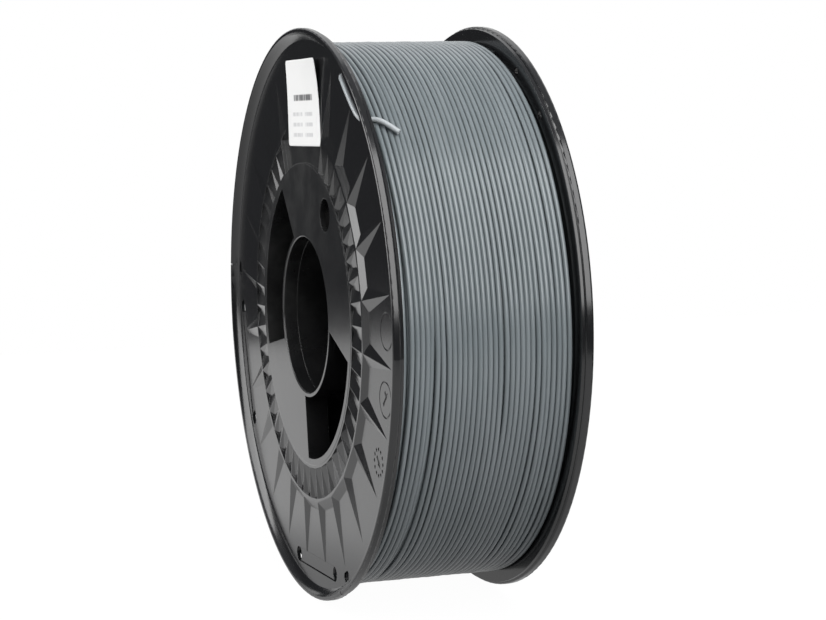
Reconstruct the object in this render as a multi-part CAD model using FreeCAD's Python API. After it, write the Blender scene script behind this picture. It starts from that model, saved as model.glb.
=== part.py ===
"""A full filament spool: two moulded flanges on a drum and a bore tube, wound with filament.

The spool's axis is Y, with the origin at the middle of the bore. The flange with the label faces -Y.
Sizes are in millimetres and angles in degrees, counted from +X towards +Z as seen from -Y.
"""
import FreeCAD, Part
import math
import os

Vector = FreeCAD.Vector

# Driving sizes of the rim and the flat face
rim_diameter = 200.0
spool_width = 67.8
rim_width = 2.9
rim_corner_radius = 0.7
rim_crown_width = 1.4
rim_slope_width = 2.6
rim_slope_sag = 0.2
face_recess = 2.6
disc_thickness = 1.3
back_slope_width = 0.2

# Driving sizes of the bore, the drum and the hub plates
bore_diameter = 54.6
tube_wall = 0.8
collar_lead_in = 0.15
collar_depth = 5.0
collar_mouth_round = 0.4
socket_depth = 6.0
socket_wall = 0.7
drum_diameter = 108.4
drum_wall = 2.0
spigot_wall = 1.4
spigot_length = 6.0
plug_clearance = 0.1
lip_width = 2.6
lip_round = 0.5
hub_recess = 1.1
plate_thickness = 2.0
window_lip = 1.5
skirt_thickness = 1.5
skirt_length = 6.0

# The pattern on both faces is even about this direction, and the far flange is turned over about it
symmetry_angle = 57.0
window_near_offset_inner = 60.1
window_near_offset_outer = 67.0
window_far_offset_inner = 148.0
window_far_offset_outer = 143.2
pin_hole_diameter = 11.4
pin_hole_circle_radius = 44.7

# Driving sizes of the pleated ring and its rays
ray_count = 24
ring_width = 12.6
ring_recess = 1.2
ring_slope_width = 3.0
ray_half_angle = 3.3
ray_tip_margin = 5.2
pleat_depth = 1.0
pleat_margin = 0.7
pleat_ridge_angle = 0.2
valley_share_inside = 0.7
valley_share_outside = 0.32
panel_first_angle = 72.0
panel_last_angle = 117.0
panel_wall_angle = 0.4
panel_clearance = 0.4

# Driving sizes of the clips, clamps and filament holes
clip_angles = (200.0, 274.5)
clip_chord_margin = 4.9
clip_half_length = 22.0
clip_hole_diameter = 5.2
clip_slit_width = 0.35
clip_strip_recess = 0.25
clamp_angles = (177.0, 297.0)
clamp_margin = 2.0
clamp_depth = 3.4
clamp_slot_length = 5.7
clamp_slot_width = 3.3
clamp_slit_width = 0.6
clamp_slit_slant = 10.0
clamp_slit_depth = 1.0
filament_hole_offset = 7.5
filament_hole_diameter = 3.2
filament_hole_shift = 0.6

# Driving sizes of the shallow mould marks
mark_margin = 10.0
mark_depth = 0.25
mark_line_width = 0.5
mark_turn = 45.0
number_ring_angle = 349.75
number_ring_radius = 5.8
number_bar_length = 6.0
number_bar_width = 1.1
plain_ring_angle = 4.5
dial_angle = 334.5
dial_radius = 4.3
dial_dot_count = 12
dial_dot_diameter = 1.2
dial_arrow_length = 5.2

# Driving sizes of the label
label_width = 39.0
label_margin = 6.25
label_thickness = 0.2
label_corner_radius = 1.5
label_turn = 3.7
label_angle_shift = -0.9
label_shift = -0.5

# Driving sizes of the filament
filament_diameter = 1.75
winding_inset = 5.0
winding_clearance = 0.3
layer_gap = 0.1
turn_pitch = 2.34
first_turn_angle = 80.0
wound_side_count = 8
tail_first_run = 5.0

# How many points of a turn its gap is measured on, a tail arc's share of its shorter run,
# and how far a cutter stands clear of the material
gap_samples = 72
arc_share = 0.45
above = 1.0

# Sizes that follow
rim_radius = rim_diameter / 2
half_width = spool_width / 2
crown_radius = rim_radius - rim_crown_width
face_radius = crown_radius - rim_slope_width
inner_depth = face_recess + disc_thickness
tube_bore_radius = bore_diameter / 2
tube_outer_radius = tube_bore_radius + tube_wall
collar_bore_radius = tube_bore_radius + collar_lead_in
seam_depth = hub_recess + collar_depth
socket_bore_radius = tube_outer_radius + plug_clearance
socket_outer_radius = socket_bore_radius + socket_wall
drum_outer_radius = drum_diameter / 2
drum_bore_radius = drum_outer_radius - drum_wall
spigot_outer_radius = drum_bore_radius - plug_clearance
opening_radius = spigot_outer_radius - spigot_wall
lip_radius = opening_radius + lip_width
plate_under_depth = hub_recess + plate_thickness
window_inner_radius = collar_bore_radius + window_lip
ring_vertex_radius = lip_radius + ring_width
ring_foot_radius = ring_vertex_radius + ring_slope_width
ray_tip_radius = face_radius - ray_tip_margin
ray_step = 360.0 / ray_count
pleat_step = ray_step / 2
pleated_span = 360.0 - (panel_last_angle - panel_first_angle)
embed = disc_thickness / 2
filament_radius = filament_diameter / 2
wound_step = 2 * math.pi / wound_side_count
wound_corner_radius = filament_radius * math.sqrt(wound_step / math.sin(wound_step))
winding_outer_radius = rim_radius - winding_inset
turn_radius = winding_outer_radius - filament_radius
core_outer_radius = turn_radius - filament_radius - layer_gap
winding_half_width = half_width - inner_depth - winding_clearance
turn_count = math.floor((2 * winding_half_width - filament_diameter) / turn_pitch)
first_turn_y = -winding_half_width + filament_radius
filament_hole_circle_radius = turn_radius + filament_hole_shift
clip_chord = face_radius - clip_chord_margin
clip_hole_chord = clip_chord - clip_hole_diameter / 2
clamp_radius = face_radius - clamp_margin
mark_radius = face_radius - mark_margin
label_height = face_radius - lip_radius - 2 * label_margin
label_angle = (panel_first_angle + panel_last_angle) / 2 + label_angle_shift


def flange_point(radius, angle, depth):
    """Return a point of a flange in its own frame, where the rim's plane is Z = 0 and depth runs down."""
    turn = math.radians(angle)
    return Vector(radius * math.cos(turn), radius * math.sin(turn), -depth)


def face_of(points):
    """Return the flat face inside a closed run of straight edges."""
    return Part.Face(Part.makePolygon(points + points[:1]))


def closed_solid(loops):
    """Return the solid that flat faces close, with its faces turned outwards."""
    shell = Part.makeShell([face_of(loop) for loop in loops])
    shell.sewShape()
    solid = Part.makeSolid(shell)
    if solid.Volume < 0:
        solid.reverse()
    return solid


def prism(points, height):
    """Return the solid that a flat outline sweeps straight up."""
    return face_of(points).extrude(Vector(0, 0, height))


def disc(radius, top_depth, bottom_depth):
    """Return a round disc about the axis between two depths."""
    return Part.makeCylinder(radius, bottom_depth - top_depth, Vector(0, 0, -bottom_depth))


def drill(radius, centre, top_depth, bottom_depth):
    """Return the round cutter of a hole between two depths, centred under a point."""
    base = Vector(centre.x, centre.y, -bottom_depth)
    return Part.makeCylinder(radius, bottom_depth - top_depth, base)


def chord_box(angle, near, far, half_length, top_depth, bottom_depth):
    """Return a box whose length runs along a chord, between two distances from the axis."""
    box = Part.makeBox(far - near, 2 * half_length, bottom_depth - top_depth,
                       Vector(near, -half_length, -bottom_depth))
    box.rotate(Vector(0, 0, 0), Vector(0, 0, 1), angle)
    return box


def turned_profile():
    """Return everything round on a flange: collar, hub plate, spigot, disc and rim, turned in one."""
    def at(radius, depth):
        return Vector(radius, 0, -depth)

    bend = 1 - math.sqrt(0.5)
    mouth_start = at(collar_bore_radius, hub_recess + collar_mouth_round)
    mouth_middle = at(collar_bore_radius + bend * collar_mouth_round, hub_recess + bend * collar_mouth_round)
    mouth_end = at(collar_bore_radius + collar_mouth_round, hub_recess)
    lip_start = at(lip_radius - lip_round, hub_recess)
    lip_middle = at(lip_radius - bend * lip_round, hub_recess + bend * lip_round)
    lip_end = at(lip_radius, hub_recess + lip_round)
    foot = at(face_radius, face_recess)
    slope_middle = at(face_radius + rim_slope_width / 2 + rim_slope_sag, face_recess / 2 + rim_slope_sag)
    crown_start = at(crown_radius, 0)
    crown_end = at(rim_radius - rim_corner_radius, 0)
    upper_middle = at(rim_radius - bend * rim_corner_radius, bend * rim_corner_radius)
    upper_end = at(rim_radius, rim_corner_radius)
    lower_start = at(rim_radius, rim_width - rim_corner_radius)
    lower_middle = at(rim_radius - bend * rim_corner_radius, rim_width - bend * rim_corner_radius)
    lower_end = at(rim_radius - rim_corner_radius, rim_width)
    back_foot = at(rim_radius - rim_corner_radius - back_slope_width, inner_depth)
    back = [
        back_foot,
        at(spigot_outer_radius, inner_depth),
        at(spigot_outer_radius, inner_depth + spigot_length),
        at(opening_radius, inner_depth + spigot_length),
        at(opening_radius, plate_under_depth),
        at(socket_outer_radius, plate_under_depth),
        at(socket_outer_radius, seam_depth + socket_depth),
        at(socket_bore_radius, seam_depth + socket_depth),
        at(socket_bore_radius, seam_depth),
        at(collar_bore_radius, seam_depth),
        mouth_start,
    ]
    edges = [
        Part.Arc(mouth_start, mouth_middle, mouth_end).toShape(),
        Part.LineSegment(mouth_end, lip_start).toShape(),
        Part.Arc(lip_start, lip_middle, lip_end).toShape(),
        Part.LineSegment(lip_end, at(lip_radius, face_recess)).toShape(),
        Part.LineSegment(at(lip_radius, face_recess), foot).toShape(),
        Part.Arc(foot, slope_middle, crown_start).toShape(),
        Part.LineSegment(crown_start, crown_end).toShape(),
        Part.Arc(crown_end, upper_middle, upper_end).toShape(),
        Part.LineSegment(upper_end, lower_start).toShape(),
        Part.Arc(lower_start, lower_middle, lower_end).toShape(),
        Part.LineSegment(lower_end, back_foot).toShape(),
    ]
    edges += [Part.LineSegment(first, last).toShape() for first, last in zip(back, back[1:])]
    return Part.Face(Part.Wire(edges)).revolve(Vector(0, 0, 0), Vector(0, 0, 1), 360)


def window_corners(side):
    """Return the inner and outer corners of one window's two straight edges, on one side of the pattern."""
    offsets = (
        (window_near_offset_inner, window_near_offset_outer),
        (window_far_offset_inner, window_far_offset_outer),
    )
    corners = []
    for inner_offset, outer_offset in offsets:
        inner = flange_point(window_inner_radius, symmetry_angle + side * inner_offset, 0)
        outer = flange_point(opening_radius, symmetry_angle + side * outer_offset, 0)
        corners.append((inner, outer))
    return corners


def window_cutter(side):
    """Return the opening between the hub plates: a ring's sector with two straight edges."""
    bottom_depth = plate_under_depth + hub_recess
    (inner_a, outer_a), (inner_b, outer_b) = window_corners(side)
    outline = [inner_a, outer_a * 2 - inner_a, outer_b * 2 - inner_b, inner_b]
    outline = [Vector(point.x, point.y, -bottom_depth) for point in outline]
    sector = prism(outline, bottom_depth + above)
    outside = disc(opening_radius, -above, bottom_depth)
    inside = disc(window_inner_radius, -2 * above, bottom_depth + above)
    return sector.common(outside.cut(inside))


def window_skirts(side):
    """Return the two walls that stiffen the plates along a window's straight edges."""
    walls = []
    for index, (inner, outer) in enumerate(window_corners(side)):
        along = (outer - inner).normalize()
        plate_side = -side if index == 0 else side
        across = Vector(-along.y, along.x, 0) * plate_side * skirt_thickness
        start = inner + along * (socket_outer_radius - window_inner_radius - socket_wall / 2)
        end = outer + along * (spigot_wall / 2)
        outline = [start, end, end + across, start + across]
        bottom_depth = plate_under_depth + skirt_length
        outline = [Vector(point.x, point.y, -bottom_depth) for point in outline]
        walls.append(prism(outline, bottom_depth - plate_under_depth + plate_thickness / 2))
    return walls


def ray_star():
    """Return the raised ring with its many-sided outer edge, and the rays that run out from its corners."""
    foot_depth = face_recess + embed
    vertices = []
    loops = []
    outline = []
    for index in range(ray_count):
        angle = panel_last_angle + index * ray_step
        vertex = flange_point(ring_vertex_radius, angle, ring_recess)
        left = flange_point(ring_foot_radius, angle - ray_half_angle, face_recess)
        right = flange_point(ring_foot_radius, angle + ray_half_angle, face_recess)
        next_vertex = flange_point(ring_vertex_radius, angle + ray_step, ring_recess)
        next_left = flange_point(ring_foot_radius, angle + ray_step - ray_half_angle, face_recess)
        inside_panel = index * ray_step > pleated_span
        if inside_panel:
            loops.append([vertex, left, right])
            outline += [left, right]
        else:
            tip = flange_point(ray_tip_radius, angle, face_recess)
            loops.append([vertex, left, tip])
            loops.append([vertex, tip, right])
            outline += [left, tip, right]
        loops.append([vertex, right, next_left, next_vertex])
        vertices.append(vertex)
    drop = Vector(0, 0, face_recess - foot_depth)
    for first, last in zip(outline, outline[1:] + outline[:1]):
        loops.append([first, last, last + drop, first + drop])
    loops.append(vertices)
    loops.append([point + drop for point in outline])
    hub = disc(lip_radius - lip_round, -above, foot_depth + above)
    return closed_solid(loops).cut(hub)


def pleat_cutter(angle):
    """Return the cutter of one pleat: two long slopes that meet in a slanting valley."""
    first = angle + pleat_ridge_angle / 2
    last = angle + pleat_step - pleat_ridge_angle / 2
    inner_radius = lip_radius + pleat_margin
    outer_radius = ring_vertex_radius * math.cos(math.radians(pleat_step)) - pleat_margin
    valley_depth = ring_recess + pleat_depth
    inner_first = flange_point(inner_radius, first, ring_recess)
    inner_last = flange_point(inner_radius, last, ring_recess)
    outer_first = flange_point(outer_radius, first, ring_recess)
    outer_last = flange_point(outer_radius, last, ring_recess)
    inner_valley = inner_first + (inner_last - inner_first) * valley_share_inside
    outer_valley = outer_first + (outer_last - outer_first) * valley_share_outside
    inner_valley.z = -valley_depth
    outer_valley.z = -valley_depth
    lift = Vector(0, 0, ring_recess)
    return closed_solid([
        [inner_first, outer_first, outer_valley],
        [inner_first, outer_valley, inner_valley],
        [inner_valley, outer_valley, outer_last],
        [inner_valley, outer_last, inner_last],
        [inner_first, outer_first, outer_first + lift, inner_first + lift],
        [inner_last, outer_last, outer_last + lift, inner_last + lift],
        [inner_first, inner_valley, inner_last, inner_last + lift, inner_first + lift],
        [outer_first, outer_valley, outer_last, outer_last + lift, outer_first + lift],
        [inner_first + lift, outer_first + lift, outer_last + lift, inner_last + lift],
    ])


def pleat_cutters():
    """Return the cutters of every pleat outside the label's panel."""
    count = round(pleated_span / pleat_step)
    return [pleat_cutter(panel_last_angle + index * pleat_step) for index in range(count)]


def panel_cutter():
    """Return the cutter that opens the smooth panel behind the label, outside the lip."""
    low = panel_first_angle + panel_wall_angle
    high = panel_last_angle - panel_wall_angle
    low_foot = panel_first_angle + ray_half_angle + panel_wall_angle / 2
    high_foot = panel_last_angle - ray_half_angle - panel_wall_angle / 2
    corner = ring_vertex_radius + panel_clearance
    foot = ring_foot_radius + panel_clearance
    beyond = ring_foot_radius / math.cos(math.radians((high_foot - low_foot) / 2)) + ring_slope_width
    outline = [
        flange_point(lip_radius - lip_width, low, face_recess),
        flange_point(corner, low, face_recess),
        flange_point(foot, low_foot, face_recess),
        flange_point(beyond, low_foot, face_recess),
        flange_point(beyond, high_foot, face_recess),
        flange_point(foot, high_foot, face_recess),
        flange_point(corner, high, face_recess),
        flange_point(lip_radius - lip_width, high, face_recess),
    ]
    return prism(outline, face_recess + above).cut(disc(lip_radius, -2 * above, face_recess + above))


def clip_cutters(angle):
    """Return the cutters of one clip: its recessed strip, its slit and the two holes at its ends."""
    strip = chord_box(angle, clip_chord - clip_hole_diameter, clip_chord, clip_half_length,
                      -above, face_recess + clip_strip_recess)
    slit = chord_box(angle, clip_chord - clip_slit_width, clip_chord, clip_half_length,
                     -above, inner_depth + above)
    cutters = [strip, slit]
    for side in (-1, 1):
        centre = Vector(clip_hole_chord, side * clip_half_length, 0)
        hole = drill(clip_hole_diameter / 2, centre, -above, inner_depth + above)
        hole.rotate(Vector(0, 0, 0), Vector(0, 0, 1), angle)
        cutters.append(hole)
    return cutters


def clamp_cutters(angle):
    """Return the cutters of one rim clamp: an oval pocket, and the slanting slit that leads to it."""
    height = clamp_depth + above
    half_straight = (clamp_slot_length - clamp_slot_width) / 2
    slot = Part.makeBox(clamp_slot_width, 2 * half_straight, height,
                        Vector(clamp_radius - clamp_slot_width / 2, -half_straight, -clamp_depth))
    ends = [drill(clamp_slot_width / 2, Vector(clamp_radius, side * half_straight, 0), -above, clamp_depth)
            for side in (-1, 1)]
    reach = (rim_radius - clamp_radius) / math.cos(math.radians(clamp_slit_slant)) + above
    slit = Part.makeBox(reach, clamp_slit_width, clamp_slit_depth + above,
                        Vector(0, -clamp_slit_width / 2, -clamp_slit_depth))
    slit.rotate(Vector(0, 0, 0), Vector(0, 0, 1), -clamp_slit_slant)
    slit.translate(Vector(clamp_radius, 0, 0))
    cutter = slot.fuse(ends + [slit])
    cutter.rotate(Vector(0, 0, 0), Vector(0, 0, 1), angle)
    return [cutter]


def ring_mark(angle, radius):
    """Return the cutter of a thin engraved ring."""
    centre = flange_point(mark_radius, angle, 0)
    outer = drill(radius + mark_line_width / 2, centre, -above, face_recess + mark_depth)
    inner = drill(radius - mark_line_width / 2, centre, -2 * above, face_recess + mark_depth + above)
    return outer.cut(inner)


def mark_cutters():
    """Return the cutters of the shallow marks: two rings, a plain number and a dial of dots with an arrow."""
    bottom_depth = face_recess + mark_depth
    height = bottom_depth + above
    cutters = [ring_mark(angle, number_ring_radius) for angle in (number_ring_angle, plain_ring_angle)]
    bar = Part.makeBox(number_bar_length, number_bar_width, height,
                       Vector(-number_bar_length / 2, -number_bar_width / 2, -bottom_depth))
    flag = Part.makeBox(number_bar_width, 2 * number_bar_width, height,
                        Vector(number_bar_length / 2 - 2 * number_bar_width, 0, -bottom_depth))
    number = bar.fuse(flag)
    number.rotate(Vector(0, 0, 0), Vector(0, 0, 1), mark_turn)
    number.translate(flange_point(mark_radius, number_ring_angle, 0))
    cutters.append(number)
    dial_centre = flange_point(mark_radius, dial_angle, 0)
    for index in range(dial_dot_count):
        turn = 360.0 * index / dial_dot_count
        dot = dial_centre + flange_point(dial_radius, turn, 0)
        cutters.append(drill(dial_dot_diameter / 2, dot, -above, bottom_depth))
    half = dial_arrow_length / 2
    arrow = prism([
        Vector(-half, -number_bar_width / 2, -bottom_depth),
        Vector(0, -number_bar_width / 2, -bottom_depth),
        Vector(0, -number_bar_width, -bottom_depth),
        Vector(half, 0, -bottom_depth),
        Vector(0, number_bar_width, -bottom_depth),
        Vector(0, number_bar_width / 2, -bottom_depth),
        Vector(-half, number_bar_width / 2, -bottom_depth),
    ], height)
    arrow.rotate(Vector(0, 0, 0), Vector(0, 0, 1), -mark_turn)
    arrow.translate(dial_centre)
    cutters.append(arrow)
    return cutters


def filament_hole_centres():
    """Return the centres of the two holes that the filament's end is threaded through."""
    return [flange_point(filament_hole_circle_radius, symmetry_angle + side * filament_hole_offset, 0)
            for side in (1, -1)]


def flange():
    """Return one whole flange in its own frame."""
    body = turned_profile()
    body = body.cut([window_cutter(-1), window_cutter(1)])
    added = [ray_star()]
    for side in (-1, 1):
        added += window_skirts(side)
    body = body.fuse(added)
    pin_hole = flange_point(pin_hole_circle_radius, symmetry_angle, 0)
    removed = [panel_cutter(), drill(pin_hole_diameter / 2, pin_hole, -above, plate_under_depth + above)]
    for angle in clip_angles:
        removed += clip_cutters(angle)
    for angle in clamp_angles:
        removed += clamp_cutters(angle)
    for centre in filament_hole_centres():
        removed.append(drill(filament_hole_diameter / 2, centre, -above, inner_depth + above))
    removed += mark_cutters()
    for cutter in removed:
        body = body.cut(cutter)
    return body.cut(pleat_cutters())


def to_near_side(shape):
    """Return a copy of a flange's shape at its place on the near side, facing -Y."""
    placed = shape.copy()
    placed.rotate(Vector(0, 0, 0), Vector(1, 0, 0), 90)
    placed.translate(Vector(0, -half_width, 0))
    return placed


def to_far_side(shape):
    """Return a copy turned over to the far side about the pattern's own direction."""
    placed = to_near_side(shape)
    turn = math.radians(symmetry_angle)
    placed.rotate(Vector(0, 0, 0), Vector(math.cos(turn), 0, math.sin(turn)), 180)
    return placed


def tube_along_y(outer_radius, inner_radius, half_length):
    """Return a plain tube about the axis."""
    start = Vector(0, -half_length, 0)
    axis = Vector(0, 1, 0)
    outer = Part.makeCylinder(outer_radius, 2 * half_length, start, axis)
    return outer.cut(Part.makeCylinder(inner_radius, 2 * half_length, start, axis))


def label():
    """Return the paper label, a thin plate with round corners on the panel."""
    bottom = -face_recess
    plate = Part.makeBox(label_width, label_height, label_thickness,
                         Vector(-label_width / 2, -label_height / 2, bottom))
    corners = [edge for edge in plate.Edges if abs(edge.tangentAt(0).z) > math.cos(math.radians(1))]
    plate = plate.makeFillet(label_corner_radius, corners)
    plate.rotate(Vector(0, 0, 0), Vector(0, 0, 1), label_turn)
    radius = (lip_radius + face_radius) / 2 + label_shift
    plate.translate(flange_point(radius, label_angle, 0))
    return to_near_side(plate)


def helix_point(turns):
    """Return the point of the outer layer's centre line after some turns from its near end."""
    turn = math.radians(first_turn_angle) + 2 * math.pi * turns
    y = first_turn_y + turn_pitch * turns
    return Vector(turn_radius * math.cos(turn), y, turn_radius * math.sin(turn))


def helix_direction(turns):
    """Return the unit direction of the outer layer's centre line after some turns."""
    turn = math.radians(first_turn_angle) + 2 * math.pi * turns
    rise = turn_pitch / (2 * math.pi)
    return Vector(-turn_radius * math.sin(turn), rise, turn_radius * math.cos(turn)).normalize()


def arc_from(start, corner, end):
    """Return the arc that leaves start towards corner and comes into end from it."""
    middle = (start + end) * 0.5
    half_chord = start.distanceToPoint(end) / 2
    towards = corner - middle
    half_turn = math.atan2(towards.Length, half_chord)
    top = middle + towards.normalize() * (half_chord * math.tan(half_turn / 2))
    return Part.Arc(start, top, end).toShape()


def biarc(start, start_direction, end, end_direction):
    """Return the two arcs that join two points smoothly, with equal lengths of tangent."""
    gap = end - start
    total = start_direction + end_direction
    square = 2 * (1 - start_direction.dot(end_direction))
    along = gap.dot(total)
    length = (-along + math.sqrt(along * along + square * gap.dot(gap))) / square
    first_corner = start + start_direction * length
    last_corner = end - end_direction * length
    joint = (first_corner + last_corner) * 0.5
    return [arc_from(start, first_corner, joint), arc_from(joint, last_corner, end)]


def swept_tube(edges, section):
    """Return the tube that a section sweeps along a smooth path."""
    return Part.Wire(edges).makePipeShell([section], True, False)


def wound_section(centre, direction):
    """Return the flat-sided section of the wound filament, with the round filament's area."""
    outwards = Vector(centre.x, 0, centre.z).normalize()
    sideways = direction.cross(outwards).normalize()
    outwards = sideways.cross(direction)
    corners = []
    for index in range(wound_side_count):
        turn = (index + 0.5) * wound_step
        corner = outwards * math.cos(turn) + sideways * math.sin(turn)
        corners.append(centre + corner * wound_corner_radius)
    return Part.makePolygon(corners + corners[:1])


def filament_outer_layer():
    """Return the outer layer of turns as one unbroken tube, with straight ends one filament long."""
    quarters = 4 * turn_count
    stations = [index / 4 for index in range(quarters + 1)]
    points = [helix_point(turns) for turns in stations]
    directions = [helix_direction(turns) for turns in stations]
    near_end = points[0] - directions[0] * filament_diameter
    far_end = points[-1] + directions[-1] * filament_diameter
    edges = [Part.LineSegment(near_end, points[0]).toShape()]
    for index in range(quarters):
        edges += biarc(points[index], directions[index], points[index + 1], directions[index + 1])
    edges.append(Part.LineSegment(points[-1], far_end).toShape())
    return swept_tube(edges, wound_section(near_end, directions[0]))


def least_gap_between_turns():
    """Return the least gap of the outer layer to itself, measured on points along its centre line."""
    line = [helix_point(index / gap_samples) for index in range(3 * gap_samples)]
    nearest = min(line[0].distanceToPoint(point) for point in line[gap_samples // 2:])
    return nearest - 2 * wound_corner_radius


def around(radius, angle, y):
    """Return a point of the whole spool at a radius and an angle about the axis."""
    turn = math.radians(angle)
    return Vector(radius * math.cos(turn), y, radius * math.sin(turn))


def tail_route():
    """Return the points of the loose end: along the winding, out by one hole, over the face and back in."""
    start = helix_point(0) - helix_direction(0) * filament_diameter
    leave = symmetry_angle + filament_hole_offset
    enter = symmetry_angle - filament_hole_offset
    face = -half_width + face_recess
    return [
        start,
        start - helix_direction(0) * tail_first_run,
        around(turn_radius + 0.7, leave + 6.5, first_turn_y - 0.1),
        around(turn_radius + 0.6, leave + 3.0, first_turn_y),
        around(turn_radius + 0.4, leave, first_turn_y),
        around(turn_radius + 0.4, leave, face - 0.9),
        around(turn_radius + 0.2, leave - 3.2, face - 1.15),
        around(turn_radius - 0.2, leave - 6.8, face - 1.25),
        around(turn_radius - 0.1, enter + 4.2, face - 1.25),
        around(turn_radius + 0.3, enter + 1.2, face - 1.05),
        around(turn_radius + 0.5, enter - 0.2, face + 0.3),
        around(turn_radius + 1.0, enter - 0.3, face + 2.2),
        around(turn_radius + 2.0, enter - 0.9, face + 4.4),
        around(turn_radius + 2.4, enter - 2.4, face + 7.2),
        around(turn_radius + 2.5, enter - 4.6, face + 10.2),
    ]


def tail_radii(route):
    """Return each inner point's arc radius: a share of the shorter run over the half turn's tangent."""
    radii = []
    for before, point, after in zip(route, route[1:], route[2:]):
        arrive = point - before
        depart = after - point
        half_turn = arrive.getAngle(depart) / 2
        radii.append(arc_share * min(arrive.Length, depart.Length) / math.tan(half_turn))
    return radii


def filament_tail():
    """Return the loose end as a tube of straight runs joined by tangent arcs."""
    route = tail_route()
    edges = []
    cursor = route[0]
    for before, point, after, radius in zip(route, route[1:], route[2:], tail_radii(route)):
        arrive = (point - before).normalize()
        depart = (after - point).normalize()
        reach = radius * math.tan(arrive.getAngle(depart) / 2)
        arc_start = point - arrive * reach
        arc_end = point + depart * reach
        edges.append(Part.LineSegment(cursor, arc_start).toShape())
        edges.append(arc_from(arc_start, point, arc_end))
        cursor = arc_end
    edges.append(Part.LineSegment(cursor, route[-1]).toShape())
    length = sum(edge.Length for edge in edges)
    section = Part.Wire([Part.makeCircle(filament_radius, route[0], route[1] - route[0])])
    return swept_tube(edges, section), length


def main():
    """Build every piece and write one file for each."""
    one_flange = flange()
    tail, tail_length = filament_tail()
    tube_half_length = half_width - seam_depth
    parts = {
        "near_flange": to_near_side(one_flange),
        "far_flange": to_far_side(one_flange),
        "winding_drum": tube_along_y(drum_outer_radius, drum_bore_radius, half_width - inner_depth),
        "bore_tube": tube_along_y(tube_outer_radius, tube_bore_radius, tube_half_length),
        "filament_core": tube_along_y(core_outer_radius, drum_outer_radius + layer_gap, winding_half_width),
        "filament_outer_layer": filament_outer_layer(),
        "filament_tail": tail,
        "label": label(),
    }
    os.makedirs("parts", exist_ok=True)
    for name, shape in parts.items():
        solids = len(shape.Solids)
        print("%s: solids %d, valid %s, faces %d, volume %.1f" % (
            name, solids, shape.isValid(), len(shape.Faces), shape.Volume))
        shape.exportStep("parts/%s.step" % name)
    print("least gap between turns %.3f mm" % least_gap_between_turns())
    print("tail radii in mm: " + ", ".join("%.1f" % radius for radius in tail_radii(tail_route())))
    section = math.pi * filament_radius ** 2
    print("tail length %.2f mm, volume over section and length %.4f" % (
        tail_length, tail.Volume / (section * tail_length)))


main()
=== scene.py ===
"""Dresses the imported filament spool: black flanges, wound grey filament, its loose end and the label.

Lengths are in metres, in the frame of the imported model: the spool's axis is Y, the flange with the label
faces -Y and Z is up. Angles are in degrees about the axis, from +X towards +Z as seen from -Y.
"""

import logging
import math
from dataclasses import dataclass
from enum import Enum
from typing import Any, Mapping, Sequence, Union

import bpy
import numpy as np
from mathutils import Matrix, Vector


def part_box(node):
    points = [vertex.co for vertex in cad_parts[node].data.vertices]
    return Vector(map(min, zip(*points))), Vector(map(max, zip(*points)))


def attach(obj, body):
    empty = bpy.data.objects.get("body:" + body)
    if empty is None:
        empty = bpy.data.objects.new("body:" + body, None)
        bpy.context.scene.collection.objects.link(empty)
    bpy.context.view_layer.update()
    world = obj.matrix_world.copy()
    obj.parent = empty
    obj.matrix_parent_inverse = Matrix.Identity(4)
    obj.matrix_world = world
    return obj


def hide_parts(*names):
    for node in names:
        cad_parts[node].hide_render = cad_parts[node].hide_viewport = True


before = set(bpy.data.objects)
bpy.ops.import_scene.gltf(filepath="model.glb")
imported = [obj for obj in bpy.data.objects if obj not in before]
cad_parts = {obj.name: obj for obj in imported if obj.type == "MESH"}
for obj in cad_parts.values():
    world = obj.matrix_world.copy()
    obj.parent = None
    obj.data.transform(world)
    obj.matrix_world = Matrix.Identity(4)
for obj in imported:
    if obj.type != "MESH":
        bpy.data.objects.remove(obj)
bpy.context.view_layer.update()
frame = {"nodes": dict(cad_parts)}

log = logging.getLogger("spool")

Colour = tuple[float, float, float]
Value = Union["Field", float, int, Sequence[float]]

MILLIMETRE = 0.001
BODY = "root"
AXIS = np.array([0.0, 1.0, 0.0])


class Slot(Enum):
    """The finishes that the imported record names."""

    PLASTIC = "spool_plastic"
    FILAMENT = "filament"
    PAPER = "label_paper"


def smooth_step(values: np.ndarray, low: float, high: float) -> np.ndarray:
    """Return a soft step of whole arrays: 0 below low, 1 above high and 3x2 - 2x3 of the share between.

    Args:
        values: The numbers to step.
        low: Where the step begins.
        high: Where the step is full.

    Returns:
        An array of the same shape, from 0 to 1.
    """
    share = np.clip((values - low) / (high - low), 0.0, 1.0)
    return share * share * (3.0 - 2.0 * share)


def between(angles: np.ndarray, first: float, last: float, fade: float) -> np.ndarray:
    """Return a soft window over angles: the step up at first times the step down at last.

    Args:
        angles: Angles in degrees.
        first: Where the window is half open.
        last: Where it is half closed.
        fade: The angle that each step takes.

    Returns:
        An array of the same shape, 1 inside the window and 0 outside it.
    """
    middle = (first + last) / 2
    turned = (angles - middle + 180.0) % 360.0 - 180.0 + middle
    up = smooth_step(turned, first - fade / 2, first + fade / 2)
    down = smooth_step(turned, last - fade / 2, last + fade / 2)
    return up * (1.0 - down)


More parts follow.
